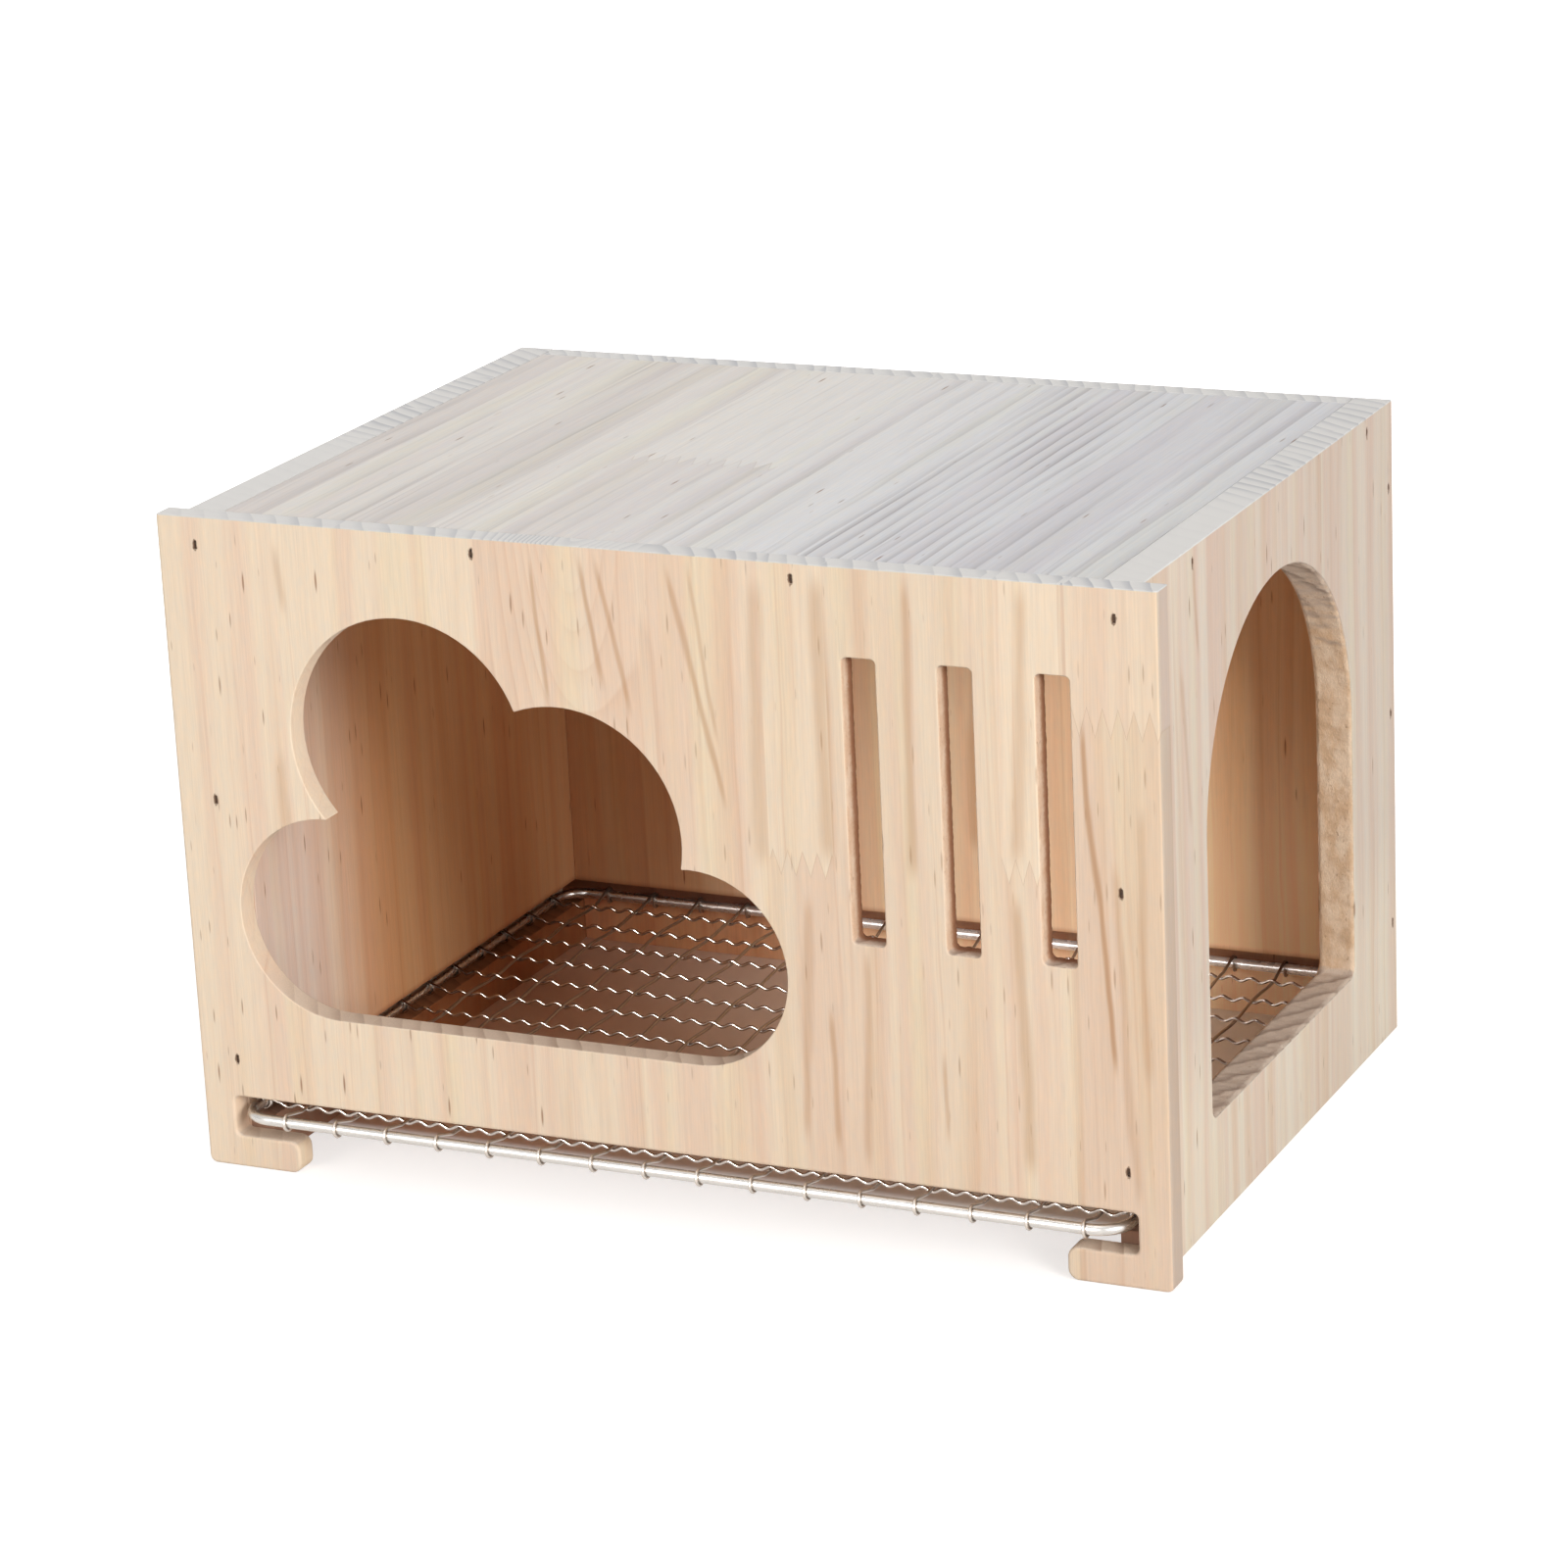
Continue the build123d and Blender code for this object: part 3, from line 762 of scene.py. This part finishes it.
def wrapped(line, rod_near, rod_far):
    """The wire's line, in its own upright plane, with each end wound over a rod and under it."""
    bend = ROD_R + WIRE_R + TURN_PLAY

    def end(rod, side):
        points = []
        for index in range(TURN_STEPS + 1):
            angle = math.radians(TURN_FROM + TURN * index / TURN_STEPS)
            creep = TURN_CREEP * index / TURN_STEPS
            points.append((rod + side * bend * math.cos(angle), bend * math.sin(angle), creep))
        return points
    return list(reversed(end(rod_near, 1))) + line + end(rod_far, -1)


def weft(index):
    """Crimped wire from side to side."""
    sign = 1 if index % 2 else -1
    half_wave = WARP_PITCH / CRIMPS
    x = FIRST_WARP - 3 * half_wave
    last = FIRST_WARP + (WARPS - 1) * WARP_PITCH + 2 * half_wave
    line = []
    while x <= last + 1e-6:
        line.append((x, CRIMP_RISE * math.cos(math.pi * (x - FIRST_WARP) / half_wave) * sign, 0.0))
        x += half_wave / CRIMP_STEPS
    y = FIRST_WEFT + index * WEFT_PITCH
    points = wrapped(line, -ROD_X, ROD_X)
    return [sag(Vector((u, y + creep, ROD_Z + z))) for u, z, creep in points]


def warp(index):
    """Wire from front to back, bent where it crosses."""
    sign = -1 if index % 2 else 1
    y = FIRST_WEFT - STRAIGHT_END
    line = []
    while y <= FIRST_WEFT + (WEFTS - 1) * WEFT_PITCH + STRAIGHT_END:
        line.append((y, BEND_RISE * math.cos(math.pi * (y - FIRST_WEFT) / WEFT_PITCH) * sign, 0.0))
        y += WEFT_PITCH / BEND_STEPS
    x = FIRST_WARP + index * WARP_PITCH
    points = wrapped(line, ROD_FRONT, ROD_BACK)
    return [sag(Vector((x + creep, u, ROD_Z + z))) for u, z, creep in points]


def rod_line():
    """Middle line of the frame's rod."""
    points = []
    for sx, sy, turn in ((1, -1, -90), (1, 1, 0), (-1, 1, 90), (-1, -1, 180)):
        y = ROD_FRONT + CORNER_R if sy < 0 else ROD_BACK - CORNER_R
        middle = Vector((sx * (ROD_X - CORNER_R), y, ROD_Z))
        for step in range(CORNER_STEPS + 1):
            angle = math.radians(turn + 90 * step / CORNER_STEPS)
            points.append(middle + CORNER_R * Vector((math.cos(angle), math.sin(angle), 0)))
    line = []
    for here, there in zip(points, points[1:] + points[:1]):
        pieces = max(1, int((there - here).length / ROD_PIECE))
        line += [here.lerp(there, step / pieces) for step in range(pieces)]
    return line


def run_of(points, pitch):
    """Points along a closed outline, at an even pitch."""
    line = []
    for here, there in zip(points, points[1:] + points[:1]):
        pieces = max(1, round((there - here).length / pitch))
        line += [here.lerp(there, step / pieces) for step in range(pieces)]
    return line


def arc(x, y, radius, start, turn, steps):
    """Points on an arc, in degrees."""
    angles = [math.radians(start + turn * step / steps) for step in range(steps + 1)]
    return [Vector((x + radius * math.cos(angle), y + radius * math.sin(angle))) for angle in angles]


def door_outline():
    """The doorway: a half round top, and a level sill with small rounds."""
    sill = DOOR_SILL + DOOR_ROUND
    return (arc(DOOR_Y, DOOR_SPRING, DOOR_HALF, 0, 180, 60)
            + arc(DOOR_Y - DOOR_HALF + DOOR_ROUND, sill, DOOR_ROUND, 180, 90, 6)
            + arc(DOOR_Y + DOOR_HALF - DOOR_ROUND, sill, DOOR_ROUND, 270, 90, 6))


def slot_outline(index):
    """One upright air slot, counted from the right."""
    middle = BOX_W / 2 - SLOT_END_MARGIN - SLOT_HALF - SLOT_PITCH * index
    left, right = middle - SLOT_HALF + SLOT_ROUND, middle + SLOT_HALF - SLOT_ROUND
    low, high = SLOT_LOW + SLOT_ROUND, SLOT_HIGH - SLOT_ROUND
    corners = ((right, high), (left, high), (left, low), (right, low))
    return [point for turn, (x, z) in enumerate(corners) for point in arc(x, z, SLOT_ROUND, 90 * turn, 90, 4)]


# Materials of the boards
front_pine = pine(
    "front_pine", "X", "Z", -BOX_W / 2, BOX_W,
    [(57, 1.0, 13, 0.15, 0.0), (100, 0.985, 12, 0.2, -0.03), (149, 0.96, 12, 0.38, 0.02),
     (186, 0.95, 11, 0.45, 0.0), (205, 0.92, 10, 0.4, 0.05), (250, 0.92, 13, 0.4, 0.07),
     (272, 0.935, 12, 0.35, -0.02), (300, 0.90, 10, 0.55, 0.1)],
    joints=[(186, 205, 108, 2.2, 7.0), (254, 272, 112, 2.0, 7.0), (274, 300, 155, 2.2, 8.0)],
    arches=[(128, 15, 125, 11.0)],
    streaks=[(278, 158, 285, 62, 1.4, 0.7), (286, 120, 290, 25, 2.0, 0.3), (160, 191, 173, 126, 1.5, 0.5),
             (118, 190, 121, 150, 1.1, 0.5), (133, 192, 138, 157, 1.2, 0.55), (138, 192, 146, 150, 1.3, 0.5),
             (166, 192, 172, 144, 1.1, 0.35), (185, 190, 183, 110, 3.4, 0.3), (203, 192, 204, 113, 3.6, 0.4),
             (202, 70, 203, 30, 1.5, 0.5), (229, 193, 228, 111, 2.4, 0.42), (262, 194, 259, 118, 3.0, 0.36),
             (258, 108, 260, 30, 2.8, 0.42), (213, 88, 212, 26, 1.8, 0.36), (197, 102, 194, 32, 2.2, 0.36),
             (294, 136, 294, 60, 2.2, 0.3), (38, 189, 40, 170, 2.2, 0.32), (35, 128, 35, 98, 2.6, 0.26),
             (235, 61, 236, 36, 1.1, 0.4)],
    light=tone(237, 216, 190), warm=tone(233, 205, 180), nails=NAILS["front"], flecks=0.62,
    few=(110.0, 0.55), seed=2.0, cool_light=("X", BOX_W / 2, (0.72, 0.76, 0.84, 1.0), 1.0))
side_pine = pine(
    "side_pine", "Y", "Z", FRONT_Y, BOX_D,
    [(26, 0.985, 11, 0.3, 0.06), (52, 1.0, 12, 0.25, -0.02), (92, 0.99, 12, 0.25, 0.05),
     (130, 1.0, 10, 0.3, -0.04), (170, 0.98, 9, 0.35, 0.03), (211, 0.995, 10, 0.3, -0.02)],
    streaks=[(33, 165, 38, 120, 2.2, 0.3), (44, 193, 46, 165, 1.5, 0.35)],
    nails=NAILS["side"], flecks=0.3, seed=5.0, cool_light=("X", OUTER_X, (0.735, 0.79, 0.885, 1.0), 0.8),
    ladder=70.0, low_pale=[(1.07, 1.12, 1.15, 1.0), (1.12, 1.14, 1.11, 1.0)])
INDOOR = {"flecks": 0.15, "seed": 9.0, "light": tone(244, 228, 206), "warm": tone(240, 214, 190)}
back_pine = pine(
    "back_pine", "X", "Z", -BOX_W / 2, BOX_W,
    [(60, 0.99, 9, 0.35, 0.04), (112, 1.0, 11, 0.3, 0.0), (150, 1.0, 10, 0.3, -0.01),
     (166, 0.95, 9, 0.3, 0.02), (220, 1.0, 9, 0.3, 0.03), (300, 0.99, 10, 0.35, 0.0)],
    streaks=[(162, 118, 159, 46, 3.4, 0.45)], lit=("X", 5.0, 60.0, 100.0), lit_tint=(1.1, 0.94, 0.77, 1.0),
    shade_tint=(0.7, 0.45, 0.28, 1.0), door_lit=46.0, **INDOOR)
batten_pine = pine(
    "batten_pine", "X", "Z", -BOX_W / 2, BOX_W,
    [(90, 0.97, 9, 0.35, 0.04), (190, 0.98, 8, 0.3, 0.0), (300, 1.0, 9, 0.3, 0.06)],
    top=0.0, lit=("X", 60.0, 95.0, 135.0), lit_tint=(1.25, 1.06, 0.86, 1.0),
    shade_tint=(0.88, 0.53, 0.34, 1.0), low_shade=0.0, shade_from=15.5, **INDOOR)
roof_pine = pine(
    "roof_pine", "X", "Y", -BOX_W / 2, BOX_W,
    [(30, 0.955, 9, 0.5, 0.08), (58, 0.985, 9, 0.5, -0.06), (82, 0.95, 8, 0.45, 0.06),
     (104, 1.0, 9, 0.4, -0.08), (150, 0.98, 12, 0.35, 0.03), (195, 1.0, 8, 0.5, -0.08),
     (238, 0.965, 4.6, 0.95, 0.0), (262, 0.935, 7, 0.6, 0.04), (300, 0.96, 8, 0.6, -0.03)],
    joints=[(104, 150, -14, 2.4, 8.0)], flecks=0.12, seed=14.0,
    cool_light=("Z", BOX_H, [(0.83, 0.965, 1.17, 1.0), (0.78, 0.95, 1.25, 1.0)], 0.95),
    light=tone(235, 214, 190), warm=tone(230, 207, 185), ring=tone(174, 154, 138), top=0.0, sway=5.0)

# Boards and nails
board("front_panel", front_pine)
board("left_side_panel", side_pine)
board("right_side_panel", side_pine)
board("back_panel", back_pine)
board("roof_panel", roof_pine)
batten("back_batten", batten_pine)
nail_steel = rusty("nail_steel")
for node_name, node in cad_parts.items():
    if node_name.startswith("nails_"):
        node.data.materials.clear()
        node.data.materials.append(nail_steel)

# Rough skins of the doorway and the slots
door_wood = raw_wood("doorway_wood", tone(230, 204, 176), tone(212, 178, 144), 0.36)
slot_wood = raw_wood("slot_wood", tone(232, 206, 180), tone(222, 188, 158), 0.36, WALL_Y)
liner("doorway_reveal", run_of(door_outline(), 0.8), "X", INNER_X, OUTER_X, door_wood, 0.8, 2.2, 3.0)
for index in range(SLOTS):
    edge = run_of(slot_outline(index), 0.6)
    liner(f"slot_reveal_{index + 1}", edge, "Y", FRONT_Y, WALL_Y, slot_wood, 0.3, 1.3, 7.0 + index)

# Tray
# Painted highlight on the rear rod by the slots and the doorway, painted highlight and shade on the wefts by
# the doorway, and painted shade on the warps inside the box
rod_metal = plated("rod_metal", tone(208, 204, 199), 0.28, [("X", -110, -30), ("Y", 20, 95)],
                   tone(252, 248, 244), 0.55)
weft_metal = plated("weft_metal", tone(194, 184, 176), 0.17, [("X", 30, 100), ("Y", -90, -40)],
                    tone(255, 246, 238), 0.55, tone(128, 98, 78))
warp_metal = plated("warp_metal", tone(206, 197, 188), 0.35, [("Y", -99, -96)], tone(176, 162, 150), 1.0)
rod = tube("tray_rod", rod_line(), ROD_R, rod_metal, Vector((0, 0, 1)), sides=20, closed=True)
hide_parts("tray_frame")
for index in range(WARPS):
    wire = tube(f"warp_{index + 1:02d}", warp(index), WIRE_R, warp_metal, Vector((1, 0, 0)))
    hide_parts(f"warp_wire_{index + 1:02d}")
for index in range(WEFTS):
    wire = tube(f"weft_{index + 1:02d}", weft(index), WIRE_R, weft_metal, Vector((0, 1, 0)))
    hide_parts(f"weft_wire_{index + 1:02d}")

# Floor
bpy.ops.mesh.primitive_plane_add(size=FLOOR_SIZE)
floor = bpy.context.object
floor.name = "floor"
floor.data.materials.append(floor_paper())

# World: soft white studio, plain white behind
STUDIO_LIGHT = 0.36
world = bpy.data.worlds.new("studio")
bpy.context.scene.world = world
world.use_nodes = True
sky_nodes, sky_links = world.node_tree.nodes, world.node_tree.links
level = sky_nodes.new("ShaderNodeMapRange")
level.inputs["To Min"].default_value = STUDIO_LIGHT
level.inputs["To Max"].default_value = 1.0
sky_links.new(seen_rays(sky_nodes, sky_links), level.inputs["Value"])
sky = sky_nodes["Background"]
sky.inputs["Color"].default_value = WHITE
sky_links.new(level.outputs[0], sky.inputs["Strength"])


def softbox(name, place, aim_height, size, power, shine_only=False):
    """Large soft lamp, facing a height on the box's middle line. shine_only is for one that only metal
    shows. Places and sizes are in metres."""
    lamp = bpy.data.lights.new(name, "AREA")
    lamp.shape = "SQUARE"
    lamp.size = size
    lamp.energy = power
    stand = bpy.data.objects.new(name, lamp)
    stand.location = place
    stand.rotation_euler = (Vector((0, 0, aim_height)) - Vector(place)).to_track_quat("-Z", "Y").to_euler()
    stand.visible_diffuse = not shine_only
    bpy.context.scene.collection.objects.link(stand)


softbox("key_light", (1.92, -1.25, 0.84), aim_height=0.1, size=0.9, power=42)
softbox("fill_light", (-0.9, -2.0, 0.95), aim_height=0.1, size=1.2, power=10)
softbox("shine_card", (-0.32, -1.98, 0.88), aim_height=0.02, size=0.6, power=38, shine_only=True)
softbox("top_light", (-0.2, 0.1, 2.4), aim_height=0.1, size=1.4, power=16)
softbox("back_light", (-1.6, 1.9, 1.2), aim_height=0.1, size=1.6, power=17)

# Camera at the photograph's viewing angle, as fitted to the box's edges
CAMERA_PLACE, CAMERA_TURN, CAMERA_LENS = (606.986, -1290.834, 556.665), (1.25963, 0.045245, 0.429768), 117.939
lens = bpy.data.cameras.new("camera")
lens.sensor_width = 36.0
lens.lens = CAMERA_LENS
lens.clip_end = 50
camera = bpy.data.objects.new("camera", lens)
camera.location = Vector(CAMERA_PLACE) * MM
camera.rotation_euler = Euler(CAMERA_TURN)
bpy.context.scene.collection.objects.link(camera)
bpy.context.scene.camera = camera
bpy.context.scene.view_settings.view_transform = "Standard"
